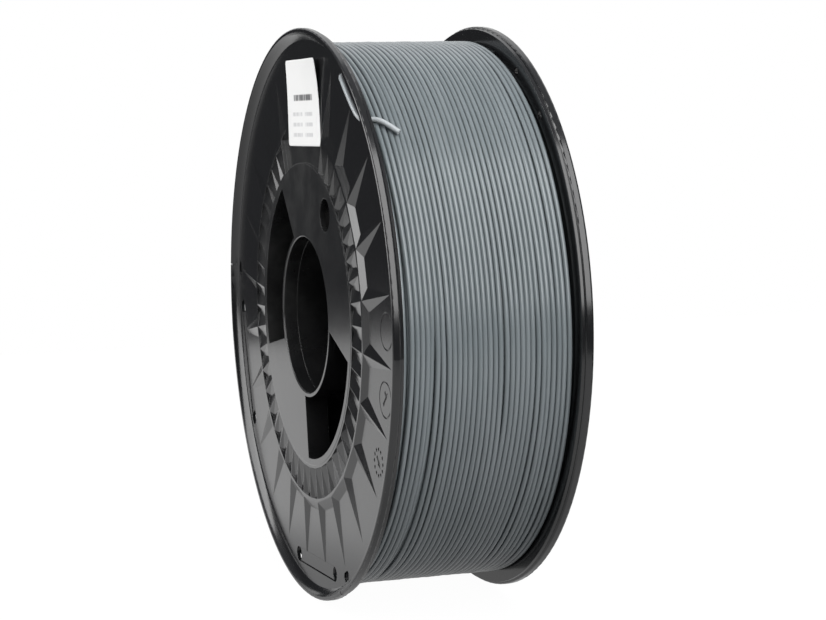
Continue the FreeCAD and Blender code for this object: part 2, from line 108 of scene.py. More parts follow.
def round_cycle(angles: Sequence[float], heights: Sequence[float], wanted: np.ndarray,
                blur: float = 16.0) -> np.ndarray:
    """Return a smooth closed curve over the angles: straight runs between the points, then blurred.

    The blur is a weighted mean over a window of a raised cosine, taken on whole degrees.

    Args:
        angles: Where the heights are given, in degrees.
        heights: The heights there.
        wanted: The angles to answer for.
        blur: The window's width in degrees.

    Returns:
        The heights at the wanted angles.
    """
    degrees = np.arange(360.0)
    runs = np.interp(degrees, np.asarray(angles) % 360.0, heights, period=360.0)
    offsets = np.arange(-int(blur), int(blur) + 1)
    weights = 1.0 + np.cos(np.pi * offsets / (blur + 1))
    weights /= weights.sum()
    picked = runs[(degrees.astype(int)[:, None] + offsets[None, :]) % 360]
    return np.interp(wanted % 360.0, degrees, picked @ weights, period=360.0)


def lengths_along(points: np.ndarray) -> np.ndarray:
    """Return the length along a path at each of its points: the sum of its steps so far."""
    steps = np.linalg.norm(np.diff(points, axis=0), axis=1)
    return np.concatenate([[0.0], np.cumsum(steps)])


class Field:
    """A value over a surface: one output socket, with the arithmetic that shader maths needs."""

    def __init__(self, graph: "Graph", socket: bpy.types.NodeSocket) -> None:
        """Keep the graph and its socket."""
        self.graph = graph
        self.socket = socket

    def __add__(self, other: Value) -> "Field":
        """Return this plus other."""
        return self.graph.math("ADD", self, other)

    def __radd__(self, other: Value) -> "Field":
        """Return other plus this."""
        return self.graph.math("ADD", other, self)

    def __sub__(self, other: Value) -> "Field":
        """Return this minus other."""
        return self.graph.math("SUBTRACT", self, other)

    def __rsub__(self, other: Value) -> "Field":
        """Return other minus this."""
        return self.graph.math("SUBTRACT", other, self)

    def __mul__(self, other: Value) -> "Field":
        """Return this times other."""
        return self.graph.math("MULTIPLY", self, other)

    def __rmul__(self, other: Value) -> "Field":
        """Return other times this."""
        return self.graph.math("MULTIPLY", other, self)

    def __truediv__(self, other: Value) -> "Field":
        """Return this over other."""
        return self.graph.math("DIVIDE", self, other)

    def __rtruediv__(self, other: Value) -> "Field":
        """Return other over this."""
        return self.graph.math("DIVIDE", other, self)

    def __abs__(self) -> "Field":
        """Return the size without its sign."""
        return self.graph.math("ABSOLUTE", self)

    def limited(self) -> "Field":
        """Return the value kept between 0 and 1."""
        return self.graph.node("ShaderNodeClamp", inputs={"Value": self})

    def step(self, low: float, high: float) -> "Field":
        """Return the soft step of this value from 0 at low to 1 at high."""
        return self.graph.node("ShaderNodeMapRange", {"interpolation_type": "SMOOTHSTEP"},
                               {"Value": self, "From Min": low, "From Max": high})


class Graph:
    """One node tree, and the few ways in which this script adds nodes to it."""

    def __init__(self, tree: bpy.types.NodeTree) -> None:
        """Empty the tree and keep it."""
        self.tree = tree
        tree.nodes.clear()

    def add(self, kind: str, settings: Mapping[str, Any] | None = None,
            inputs: Mapping[Any, Value] | None = None) -> bpy.types.Node:
        """Add one node: its settings first, then its sockets.

        Args:
            kind: The node's type.
            settings: Its own properties.
            inputs: Values or fields by socket name or number.

        Returns:
            The node.
        """
        added = self.tree.nodes.new(kind)
        for name, value in (settings or {}).items():
            setattr(added, name, value)
        for key, value in (inputs or {}).items():
            if isinstance(value, Field):
                self.tree.links.new(value.socket, added.inputs[key])
            else:
                added.inputs[key].default_value = value
        return added

    def node(self, kind: str, settings: Mapping[str, Any] | None = None,
             inputs: Mapping[Any, Value] | None = None, output: Union[int, str] = 0) -> Field:
        """Add one node as above and return the field at one of its outputs."""
        return Field(self, self.add(kind, settings, inputs).outputs[output])

    def other(self, field: Field, output: Union[int, str]) -> Field:
        """Return another output of the node that a field comes from."""
        return Field(self, field.socket.node.outputs[output])

    def math(self, operation: str, *values: Value) -> Field:
        """Return the result of one Math node on the values."""
        return self.node("ShaderNodeMath", {"operation": operation}, dict(enumerate(values)))

    def vector(self, operation: str, *values: Value, output: Union[int, str] = 0) -> Field:
        """Return the result of one Vector Math node on the values."""
        return self.node("ShaderNodeVectorMath", {"operation": operation}, dict(enumerate(values)), output)

    def scaled(self, vector: Field, amount: float) -> Field:
        """Return a vector times a number."""
        return self.node("ShaderNodeVectorMath", {"operation": "SCALE"}, {0: vector, "Scale": amount})

    def colours(self, share: Value, first: Value, second: Value) -> Field:
        """Mix two colours.

        Args:
            share: How much of the second one shows.
            first: A colour or a field.
            second: A colour or a field.

        Returns:
            The mixed colour.
        """
        first, second = [c if isinstance(c, Field) else (*c, 1.0) for c in (first, second)]
        return self.node("ShaderNodeMix", {"data_type": "RGBA"}, {0: share, 6: first, 7: second}, output=2)

    def place(self, name: str = "Object") -> Field:
        """Return the texture coordinate of that name."""
        return self.node("ShaderNodeTexCoord", output=name)

    def parts(self, vector: Field) -> tuple[Field, Field, Field]:
        """Return the three numbers of a vector."""
        first = self.node("ShaderNodeSeparateXYZ", inputs={0: vector})
        return first, self.other(first, 1), self.other(first, 2)

    def joined(self, *values: Value) -> Field:
        """Return the vector of three numbers."""
        return self.node("ShaderNodeCombineXYZ", inputs=dict(enumerate(values)))

    def noise(self, vector: Field, size: float, detail: float = 2.0, roughness: float = 0.5) -> Field:
        """Return cloudy noise whose features are about as large as size.

        Args:
            vector: Where to read it.
            size: The size of a feature, in the vector's unit.
            detail: How many finer layers it has.
            roughness: How strong they are.

        Returns:
            A field about 0.5.
        """
        return self.node("ShaderNodeTexNoise", inputs={"Vector": vector, "Scale": 1.0 / size,
                                                       "Detail": detail, "Roughness": roughness})

    def bump(self, height: Field, depth: float, normal: Field | None = None) -> Field:
        """Return the normal of a surface whose height varies.

        Args:
            height: The height, from 0 to 1.
            depth: How much a height of 1 stands up, in metres.
            normal: The normal that it starts from, or none for the surface's own.

        Returns:
            The tilted normal.
        """
        base = {} if normal is None else {"Normal": normal}
        inputs = {"Height": height, "Distance": depth, "Strength": 1.0} | base
        return self.node("ShaderNodeBump", inputs=inputs)


def new_material(name: str) -> tuple[bpy.types.Material, Graph]:
    """Make a material with an empty graph.

    Args:
        name: The material's name.

    Returns:
        The material and the graph of its nodes.
    """
    material = bpy.data.materials.new(name)
    material.use_nodes = True
    return material, Graph(material.node_tree)


def finish_surface(graph: Graph, inputs: Mapping[str, Value]) -> None:
    """Add the Principled shader with these sockets and the material's output."""
    shader = graph.node("ShaderNodeBsdfPrincipled", inputs=inputs)
    graph.add("ShaderNodeOutputMaterial", inputs={"Surface": shader})


@dataclass(frozen=True)
class MouldedPlastic:
    """Black plastic as it leaves a mould: satin, faintly rippled, paler on its corners, partly from rubbing
    wear and partly as a painted highlight.

    A thin dusty film lies on the hub, thickest at its upper left, and a few specks lie on the rest.

    Attributes:
        name: The material's name.
        colour: The plastic's own colour.
        rubbed_and_highlight_colour: Its colour on corners, paler from rubbing wear and from a painted
            highlight.
        dust_colour: The colour of dust.
        roughness: The roughness of the untouched surface.
        corner_radius: How round the corners read, in metres.
        film_radius: How far the film on the hub reaches, in metres from the axis.
        film_share: How much of the dust's colour the film shows.
        speck_share: How much of it a speck shows.
        specks_each: How many specks there may be in a millimetre.
        cloud_size: The size of the slow changes of roughness, in millimetres, as the next ones are.
        ripple_size: The size of the mould's ripples.
        grain_size: The size of its grain.
        scratch_size: The width of the fine turned marks.
        patch_size: The size of the patches on the paler corners.
        smudge_size: The size of the film's smudges.
        settled_size: The size of the places where specks settle.
        relief: The height of ripples and grain, in metres.
    """

    name: str
    colour: Colour = (0.0070, 0.0072, 0.0078)
    rubbed_and_highlight_colour: Colour = (0.030, 0.031, 0.033)
    dust_colour: Colour = (0.16, 0.16, 0.155)
    roughness: float = 0.17
    corner_radius: float = 0.00028
    film_radius: float = 0.066
    film_share: float = 0.16
    speck_share: float = 0.6
    specks_each: float = 0.42
    cloud_size: float = 26.0
    ripple_size: float = 5.5
    grain_size: float = 0.32
    scratch_size: float = 0.6
    patch_size: float = 3.2
    smudge_size: float = 11.0
    settled_size: float = 15.0
    relief: float = 0.000006

    def rubbed_and_highlit(self, graph: Graph, millimetres: Field, rounded: Field) -> Field:
        """Return the mask of the paler corners, wear plus painted highlight: where the rounded normal leaves
        the flat one, in patches.

        Args:
            graph: The material's graph.
            millimetres: The place on the surface.
            rounded: The normal as if the corners were round.

        Returns:
            0 on flat faces and up to 0.7 on corners.
        """
        flat = graph.node("ShaderNodeNewGeometry", output="Normal")
        corner = 1.0 - graph.vector("DOT_PRODUCT", rounded, flat, output="Value")
        patchy = graph.noise(millimetres, self.patch_size, 3.0, 0.65).step(0.42, 0.68)
        return (corner * 5.0).limited() * (0.35 + patchy * 0.65) * 0.7

    def film(self, graph: Graph, millimetres: Field, radius: Field) -> Field:
        """Return the mask of the dusty film on the hub, cloudy and thickest at the upper left.

        Args:
            graph: The material's graph.
            millimetres: The place on the surface.
            radius: The distance from the axis, in millimetres.

        Returns:
            0 outside the hub and up to 1 on it.
        """
        across, _, up = graph.parts(millimetres)
        reach = self.film_radius / MILLIMETRE
        smudges = graph.noise(millimetres, self.smudge_size, 3.0, 0.6).step(0.30, 0.75)
        upper_left = ((up - across) / reach).step(-0.4, 0.9)
        on_hub = 1.0 - radius.step(0.88 * reach, reach)
        return on_hub * (0.35 + smudges * 0.65) * (0.2 + upper_left * 0.8)

    def specks(self, graph: Graph, millimetres: Field) -> Field:
        """Return the mask of the dust specks: the middles of a cell pattern's cells, where dust settles.

        Args:
            graph: The material's graph.
            millimetres: The place on the surface.

        Returns:
            1 on a speck and 0 beside it.
        """
        cells = graph.node("ShaderNodeTexVoronoi", inputs={"Vector": millimetres, "Scale": self.specks_each})
        settled = graph.noise(millimetres, self.settled_size, 2.0).step(0.55, 0.7)
        return (1.0 - cells.step(0.035, 0.075)) * settled

    def make(self) -> bpy.types.Material:
        """Build the material.

        Returns:
            A material that reads object coordinates alone.
        """
        material, graph = new_material(self.name)
        millimetres = graph.scaled(graph.place(), 1.0 / MILLIMETRE)
        across, along, up = graph.parts(millimetres)
        radius = graph.math("SQRT", across * across + up * up)
        rounded = graph.node("ShaderNodeBevel", {"samples": 4}, {"Radius": self.corner_radius})
        cloud = graph.noise(millimetres, self.cloud_size, 3.0)
        ripple = graph.noise(millimetres, self.ripple_size, 1.0)
        grain = graph.noise(millimetres, self.grain_size, 2.0)
        scratches = graph.noise(graph.joined(radius * 0.9, along * 0.2, cloud * 3.0), self.scratch_size, 2.0)
        # Painted highlight and wear: corners are drawn paler where the rounded normal leaves the flat one.
        worn_and_highlit = self.rubbed_and_highlit(graph, millimetres, rounded)
        film = self.film(graph, millimetres, radius)
        dust = self.specks(graph, millimetres)
        # Corners mixed towards the paler colour: rubbing wear plus a painted highlight.
        colour = graph.colours(worn_and_highlit, self.colour, self.rubbed_and_highlight_colour)
        colour = graph.colours(film * self.film_share, colour, self.dust_colour)
        colour = graph.colours(dust * self.speck_share, colour, self.dust_colour)
        uneven = (cloud - 0.5) * 0.10 + (scratches - 0.5) * 0.06
        roughness = self.roughness + uneven + worn_and_highlit * 0.16 + dust * 0.3 + film * 0.05
        height = ripple * 0.75 + grain * 0.25
        finish_surface(graph, {
            "Base Color": colour,
            "Roughness": roughness.limited(),
            "Specular IOR Level": 0.5,
            "Normal": graph.bump(height, self.relief, rounded),
        })
        return material


@dataclass(frozen=True)
class DrawnFilament:
    """Grey plastic filament: satin, with fine lines along it and slow changes of shade.

    Attributes:
        name: The material's name.
        colour: The plastic's own colour.
        shaded_colour: Its colour in the darker stretches.
        roughness: The mean roughness.
        follows_length: Whether the piece has a map whose first number runs along the filament in metres.
        slow_waves: How many slow changes of shade a millimetre has, along the filament and across it.
        mottle_waves: How many quicker ones it has.
        line_stretch: How much slower the fine lines change along the filament than across it.
        line_width: The width of the fine lines, in millimetres.
        speckle_size: The size of the fine marks where there is no map, in millimetres.
        relief: The height of the fine lines, in metres.
    """

    name: str
    colour: Colour = (0.153, 0.173, 0.182)
    shaded_colour: Colour = (0.124, 0.143, 0.151)
    roughness: float = 0.24
    follows_length: bool = True
    slow_waves: tuple[float, float] = (0.02, 0.03)
    mottle_waves: tuple[float, float] = (0.05, 0.3)
    line_stretch: float = 0.03
    line_width: float = 0.16
    speckle_size: float = 0.35
    relief: float = 0.000004

    def make(self) -> bpy.types.Material:
        """Build the material.

        Returns:
            A material that reads the filament's own map, or object coordinates on a bare curve.
        """
        material, graph = new_material(self.name)
        place = graph.place("UV") if self.follows_length else graph.place()
        millimetres = graph.scaled(place, 1.0 / MILLIMETRE)
        first, second, third = graph.parts(millimetres)
        slow, mottle = [
            graph.noise(graph.joined(first * along, second * across, third * across), 1.0, 2.0)
            for along, across in (self.slow_waves, self.mottle_waves)
        ]
        if self.follows_length:
            lines = graph.noise(graph.joined(first * self.line_stretch, second, third), self.line_width, 2.0)
        else:
            lines = graph.noise(millimetres, self.speckle_size, 2.0)
        shade = (slow * 0.7 + mottle * 0.3).step(0.36, 0.66)
        colour = graph.colours(shade, self.shaded_colour, self.colour)
        roughness = self.roughness + (lines - 0.5) * 0.10 + (mottle - 0.5) * 0.08
        finish_surface(graph, {
            "Base Color": colour,
            "Roughness": roughness.limited(),
            "Specular IOR Level": 0.5,
            "Normal": graph.bump(lines, self.relief),
        })
        return material


@dataclass(frozen=True)
class PrintedPaper:
    """White coated paper with plain printed bars, read from the label's own map of its front.

    Attributes:
        name: The material's name.
        colour: The paper's own colour.
        ink: The heading's colour.
        pale_ink: The colour of the finer rows.
        heading: The heading's middle and half size, across and up, as shares of the label.
        row_levels: How high the finer rows stand.
        row_bars: The middle and the half width of each bar of a row.
        row_half_height: Half of a row's height.
        softness: How soft the bars' edges are, across and up.
        word_rate: How quickly words and blanks take turns across the label.
        fibre_size: The size of the paper's fibres, in millimetres.
        cloud_size: The size of its clouds, in millimetres.
        relief: The height of the paper's fibres, in metres.
    """

    name: str
    colour: Colour = (0.82, 0.82, 0.81)
    ink: Colour = (0.10, 0.10, 0.105)
    pale_ink: Colour = (0.42, 0.42, 0.43)
    heading: tuple[float, float, float, float] = (0.50, 0.56, 0.30, 0.035)
    row_levels: tuple[float, ...] = (0.37, 0.25, 0.13)
    row_bars: tuple[tuple[float, float], ...] = ((0.31, 0.15), (0.66, 0.12))
    row_half_height: float = 0.022
    softness: tuple[float, float] = (0.006, 0.008)
    word_rate: float = 60.0
    fibre_size: float = 0.45
    cloud_size: float = 9.0
    relief: float = 0.000006

    def bar(self, graph: Graph, across: Field, up: Field, box: tuple[float, float, float, float]) -> Field:
        """Return the mask of one printed bar.

        Args:
            graph: The material's graph.
            across: The share of the label's width.
            up: The share of its height.
            box: The bar's middle and half size, across and up.

        Returns:
            1 inside the bar and 0 outside, with a soft edge.
        """
        middle, level, half_width, half_height = box
        side, edge = self.softness
        inside_width = 1.0 - abs(across - middle).step(half_width - side, half_width + side)
        inside_height = 1.0 - abs(up - level).step(half_height - edge, half_height + edge)
        return inside_width * inside_height

    def make(self) -> bpy.types.Material:
        """Build the material.

        Returns:
            A material that reads the label's map and object coordinates.
        """
        material, graph = new_material(self.name)
        across, up, _ = graph.parts(graph.place("UV"))
        millimetres = graph.scaled(graph.place(), 1.0 / MILLIMETRE)
        fibres = graph.noise(millimetres, self.fibre_size, 4.0, 0.6)
        clouds = graph.noise(millimetres, self.cloud_size, 2.0)
        heading = self.bar(graph, across, up, self.heading)
        places = graph.joined(across * self.word_rate, up * 2.0, 0.0)
        words = graph.noise(places, 1.6, 1.0).step(0.40, 0.48)
        colour = graph.colours(clouds, self.colour, tuple(0.96 * c for c in self.colour))
        colour = graph.colours(heading * (0.45 + words * 0.5), colour, self.ink)
        for level in self.row_levels:
            bars = [self.bar(graph, across, up, (middle, level, half_width, self.row_half_height))
                    for middle, half_width in self.row_bars]
            row = sum(bars[1:], bars[0]).limited()
            colour = graph.colours(row * (0.25 + words * 0.35), colour, self.pale_ink)
        finish_surface(graph, {
            "Base Color": colour,
            "Roughness": (0.42 + (fibres - 0.5) * 0.2).limited(),
            "Specular IOR Level": 0.45,
            "Normal": graph.bump(fibres, self.relief),
        })
        return material


class Piece:
    """Builds finished mesh pieces from numpy surfaces and reports them."""

    @staticmethod
    def grid_faces(rows: int, columns: int, closed_rows: bool, closed_columns: bool) -> np.ndarray:
        """Return the four corners of every face of a grid of points.

        Args:
            rows: Points along the first direction.
            columns: Points along the second one.
            closed_rows: Whether the last row joins the first.
            closed_columns: Whether the last column joins the first.

        Returns:
            An array of corner numbers, one line of four for each face.
        """
        row = np.arange(rows if closed_rows else rows - 1)
        column = np.arange(columns if closed_columns else columns - 1)
        row, column = np.meshgrid(row, column, indexing="ij")
        next_row = (row + 1) % rows
        next_column = (column + 1) % columns
        corners = [row * columns + column, next_row * columns + column,
                   next_row * columns + next_column, row * columns + next_column]
        return np.stack(corners, axis=-1).reshape(-1, 4)

    @staticmethod
    def mesh(name: str, points: np.ndarray, quads: np.ndarray,
             fans: Sequence[Sequence[int]] = ()) -> bpy.types.Object:
        """Make an object of points, four-sided faces and a few faces of more corners.

        Args:
            name: The piece's name.
            points: One line of three numbers for each point.
            quads: One line of four point numbers for each face.
            fans: The corners of each other face.

        Returns:
            The object, linked to the scene and smooth.
        """
        data = bpy.data.meshes.new(name)
        data.from_pydata(points.tolist(), [], quads.tolist() + [list(fan) for fan in fans])
        data.polygons.foreach_set("use_smooth", np.ones(len(data.polygons), dtype=bool))
        data.update()
        piece = bpy.data.objects.new(name, data)
        bpy.context.scene.collection.objects.link(piece)
        return piece

    @staticmethod
    def add_map(data: bpy.types.Mesh, first: np.ndarray, second: np.ndarray) -> None:
        """Give a grid's mesh its map: one length along its rows and one along its columns.

        Faces that close the grid's ends come after its own and read nought.

        Args:
            data: The mesh.
            first: The length at each line across the rows, one more than there are rows of faces.
            second: The length at each line across the columns, likewise.
        """
        row, column = np.meshgrid(np.arange(len(first) - 1), np.arange(len(second) - 1), indexing="ij")
        lines = [(row, column), (row + 1, column), (row + 1, column + 1), (row, column + 1)]
        corners = np.stack([np.stack([first[down], second[over]], axis=-1) for down, over in lines], axis=2)
        lengths = np.zeros((len(data.loops), 2))
        lengths[:corners.size // 2] = corners.reshape(-1, 2)
        data.uv_layers.new(name="Length").data.foreach_set("uv", lengths.ravel())

    @staticmethod
    def settle(piece: bpy.types.Object, material: bpy.types.Material, slot: Slot,
               replaced: Sequence[str] = ()) -> None:
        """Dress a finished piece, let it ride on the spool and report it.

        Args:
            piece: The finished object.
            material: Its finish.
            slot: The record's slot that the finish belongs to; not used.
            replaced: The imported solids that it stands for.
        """
        piece.data.materials.append(material)
        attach(piece, BODY)
        if replaced:
            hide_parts(*replaced)
        if piece.type == "MESH":
            triangles = sum(len(polygon.vertices) - 2 for polygon in piece.data.polygons)
            log.info("%s: %d points, %d triangles", piece.name, len(piece.data.vertices), triangles)
        else:
            log.info("%s: a curve of %d points", piece.name, len(piece.data.splines[0].points))


def tube_rings(centres: np.ndarray, radius: float, sides: int) -> np.ndarray:
    """Return the rings of a tube along a path: each centre plus the radius turned about the path.

    The ring's first direction points away from the axis, square to the path, and the second one is the
    path's direction crossed with it.

    Args:
        centres: The path's points, one line each.
        radius: The tube's radius.
        sides: Points on each ring.

    Returns:
        An array of rings, ring by ring, each with its points.
    """
    along = np.gradient(centres, axis=0)
    along /= np.linalg.norm(along, axis=1, keepdims=True)
    outward = centres - (centres @ AXIS)[:, None] * AXIS
    outward -= (outward * along).sum(axis=1, keepdims=True) * along
    outward /= np.linalg.norm(outward, axis=1, keepdims=True)
    sideways = np.cross(along, outward)
    turn = 2 * np.pi * np.arange(sides)[None, :, None] / sides
    return centres[:, None, :] + radius * (np.cos(turn) * outward[:, None, :]
                                           + np.sin(turn) * sideways[:, None, :])


@dataclass(frozen=True)
class Opening:
    """A dark gap between one turn and the next, over part of the way round.

    Attributes:
        after_turn: The number of the turn before the gap.
        first: The angle at which it begins.
        last: The angle at which it ends.
        width: How wide it is.
    """

    after_turn: int
    first: float
    last: float
    width: float


@dataclass(frozen=True)
class Dip:
    """A stretch of one turn that lies deeper than its neighbours, or higher where depth is negative.

    Attributes:
        turn: The turn's number.
        first: The angle at which the stretch begins.
        last: The angle at which it ends.
        depth: How much deeper it lies.
    """

    turn: int
    first: float
    last: float
    depth: float


@dataclass
class Winding:
    """One layer of filament wound about the axis as an unbroken tube.

    A point of the tube's centre line after t turns is at the angle first_angle + 360 t and at
    y = first_y + pitch t + the sways + the openings. A sway is a closed curve over the angle, full at one
    turn and fading evenly to the next sway's turn. An opening pushes the turns on its two sides apart.

    Attributes:
        name: The piece's name.
        radius: The centre line's distance from the axis.
        first_y: Where the first turn starts along the axis.
        pitch: How far a turn moves along the axis, negative for a layer that winds back.
        turns: How many turns it has.
        first_angle: The angle of its first end.
        tube_radius: The filament's radius.
        steps: Rings for each turn.
        sides: Points on each ring.
        sway_angles: Where the sways' heights are given.
        sways: For each sway its turn and its height in millimetres at each of those angles.
        openings: The gaps between turns.
        dips: The stretches that lie deeper or higher.
        uneven: How much the depth waves with the tension.
        tension_waves: The slow, the slower and the quick wave, in radians for each turn.
        quick_share: How strong the quick wave is beside the others.
        opening_reach: Over how many turns an opening's push dies out.
        window_fade: The angle over which openings and dips begin and end.
        spread_rounds: How often turns that would lie inside each other are pushed apart.
        least_share: The least step of two turns along the axis, as a share of the filament's diameter.
    """

    name: str
    radius: float
    first_y: float
    pitch: float
    turns: float
    first_angle: float
    tube_radius: float
    steps: int = 176
    sides: int = 16
    sway_angles: tuple[float, ...] = ()
    sways: tuple[tuple[float, tuple[float, ...]], ...] = ()
    openings: tuple[Opening, ...] = ()
    dips: tuple[Dip, ...] = ()
    uneven: float = 0.00006
    tension_waves: tuple[float, float, float] = (2.39, 0.71, 7.13)
    quick_share: float = 0.6
    opening_reach: float = 3.5
    window_fade: float = 14.0
    spread_rounds: int = 6
    least_share: float = 0.75

    def sway(self, turned: np.ndarray, angle: np.ndarray) -> np.ndarray:
        """Return the shift of the turns to one side: each sway's curve times its share at that turn.

        Args:
            turned: How many turns the path has made at each point.
            angle: The point's angle.

        Returns:
            The shift along the axis at each point.
        """
        shift = np.zeros_like(turned)
        knots = [0.0] + [turn for turn, _ in self.sways]
        for index, (_, heights) in enumerate(self.sways):
            share = np.zeros(len(knots))
            share[index + 1] = 1.0
            shift += (round_cycle(self.sway_angles, heights, angle)
                      * np.interp(turned, knots, share) * MILLIMETRE)
        return shift

    def push(self, turned: np.ndarray, angle: np.ndarray) -> np.ndarray:
        """Return the openings' shift: half a width away from the gap, dying out over a few turns.

        Args:
            turned: How many turns the path has made at each point.
            angle: The point's angle.

        Returns:
            The shift along the axis at each point.
        """
        shift = np.zeros_like(turned)
        for opening in self.openings:
            window = between(angle, opening.first, opening.last, self.window_fade)
            away = np.floor(turned) - opening.after_turn - 0.5
            fading = np.exp(-(np.abs(away) - 0.5) / self.opening_reach)
            shift += opening.width / 2 * np.sign(away) * fading * window
        return shift

    def depth(self, turned: np.ndarray, angle: np.ndarray) -> np.ndarray:
        """Return how much deeper the path lies: its dips plus the waves of uneven tension.

        Args:
            turned: How many turns the path has made at each point.
            angle: The point's angle.

        Returns:
            The depth below the layer's radius at each point.
        """
        slow, slower, quick = self.tension_waves
        deeper = self.uneven * (np.sin(turned * slow) * np.cos(turned * slower + 1.0)
                                + self.quick_share * np.sin(turned * quick + np.radians(angle)))
        for dip in self.dips:
            window = between(angle, dip.first, dip.last, self.window_fade)
            deeper += dip.depth * window * (np.floor(turned) == dip.turn)
        return deeper

    def spread(self, y: np.ndarray, depth: np.ndarray, least: float) -> np.ndarray:
        """Push turns that would lie inside each other apart, over all angles at once.

        Two turns keep the filament's diameter between their centres: their least step along the axis is
        the side of the triangle whose other side is their step in depth.

        Args:
            y: Places along the axis, one line for each turn.
            depth: Depths, laid out alike.
            least: The least distance of two centres.

        Returns:
            The places after half of each push went to either side.
        """
        placed = y.copy()
        sign = math.copysign(1.0, self.pitch)
        for _ in range(self.spread_rounds):
            for turn in range(1, len(placed)):
                fall = depth[turn] - depth[turn - 1]
                step = np.sqrt(np.maximum(least**2 - fall**2, (self.least_share * least)**2))
                short = np.maximum(step - sign * (placed[turn] - placed[turn - 1]), 0.0)
                placed[turn] += sign * short / 2
                placed[turn - 1] -= sign * short / 2
        return placed

    def path(self) -> np.ndarray:
        """Return the centre line's points.

        Returns:
            One line of three numbers for each ring of the tube.
        """
        count = int(round(self.turns * self.steps)) + 1
        whole = math.ceil(self.turns) + 1
        turned = np.arange(whole * self.steps) / self.steps
        angle = self.first_angle + 360.0 * turned
        depth = self.depth(turned, angle)
        y = self.first_y + self.pitch * turned + self.sway(turned, angle) + self.push(turned, angle)
        y = self.spread(y.reshape(whole, -1), depth.reshape(whole, -1), 2 * self.tube_radius).ravel()
        turn = np.radians(angle)
        reach = self.radius - depth
        points = np.stack([reach * np.cos(turn), y, reach * np.sin(turn)], axis=1)
        return points[:count]

    def build(self) -> bpy.types.Object:
        """Build the tube, with its length and its girth in metres as its map.

        Returns:
            The object, closed at both ends.
        """
        centres = self.path()
        rings = tube_rings(centres, self.tube_radius, self.sides)
        quads = Piece.grid_faces(len(centres), self.sides, False, True)
        first_end = list(range(self.sides))
        last_end = [(len(centres) - 1) * self.sides + index for index in reversed(range(self.sides))]
        piece = Piece.mesh(self.name, rings.reshape(-1, 3), quads, [first_end, last_end])
        girth = 2 * math.pi * self.tube_radius * np.arange(self.sides + 1) / self.sides
        Piece.add_map(piece.data, lengths_along(centres), girth)
        return piece


@dataclass
class FilamentCore:
    """The inner layers of the wound filament: a ring about the drum, ribbed by its outermost turns.

    Attributes:
        inner_radius: The drum's radius.
        outer_radius: The ribs' tops.
        half_width: Half of the ring's length along the axis.
        rib_count: How many turns its outside shows.
        rib_depth: How deep the grooves between them are.
        layer_count: How many layers its sides show.
        points_each: Points along the outline for each rib or layer.
        segments: How many times the outline stands round the axis.
    """

    inner_radius: float
    outer_radius: float
    half_width: float
    rib_count: int = 33
    rib_depth: float = 0.0006
    layer_count: int = 22
    points_each: int = 6
    segments: int = 96

    def ribbed(self, count: int) -> tuple[np.ndarray, np.ndarray]:
        """Return the shares of a side's way at its points and how deep each lies, a half wave a rib."""
        share = np.arange(count * self.points_each) / (count * self.points_each)
        return share, self.rib_depth * (1 - np.abs(np.sin(np.pi * count * share)))

    def profile(self) -> np.ndarray:
        """Return the closed outline in the plane of radius and length: outside, far side and near side.

        Returns:
            One line of radius and y for each point, once round the section.
        """
        share, groove = self.ribbed(self.rib_count)
        outer = np.stack([self.outer_radius - groove, self.half_width * (2 * share - 1)], axis=1)
        share, groove = self.ribbed(self.layer_count)
        reach = self.outer_radius - self.rib_depth - self.inner_radius
        far = np.stack([self.inner_radius + reach * (1 - share), self.half_width - groove], axis=1)
        near = np.stack([self.inner_radius + reach * share, groove - self.half_width], axis=1)
        return np.concatenate([outer, far, near])

    def build(self) -> bpy.types.Object:
        """Build the ring by turning the outline about the axis, with its lengths in metres as its map.

        Returns:
            The closed object.
        """
        outline = self.profile()
        turn = 2 * np.pi * np.arange(self.segments) / self.segments
        points = np.stack([
            outline[None, :, 0] * np.cos(turn)[:, None],
            np.broadcast_to(outline[None, :, 1], (self.segments, len(outline))),
            outline[None, :, 0] * np.sin(turn)[:, None],
        ], axis=-1)
        quads = Piece.grid_faces(self.segments, len(outline), True, True)
        piece = Piece.mesh("filament_inner_layers", points.reshape(-1, 3), quads)
        round_length = 2 * math.pi * self.outer_radius * np.arange(self.segments + 1) / self.segments
        Piece.add_map(piece.data, round_length, lengths_along(np.vstack([outline, outline[:1]])))
        return piece


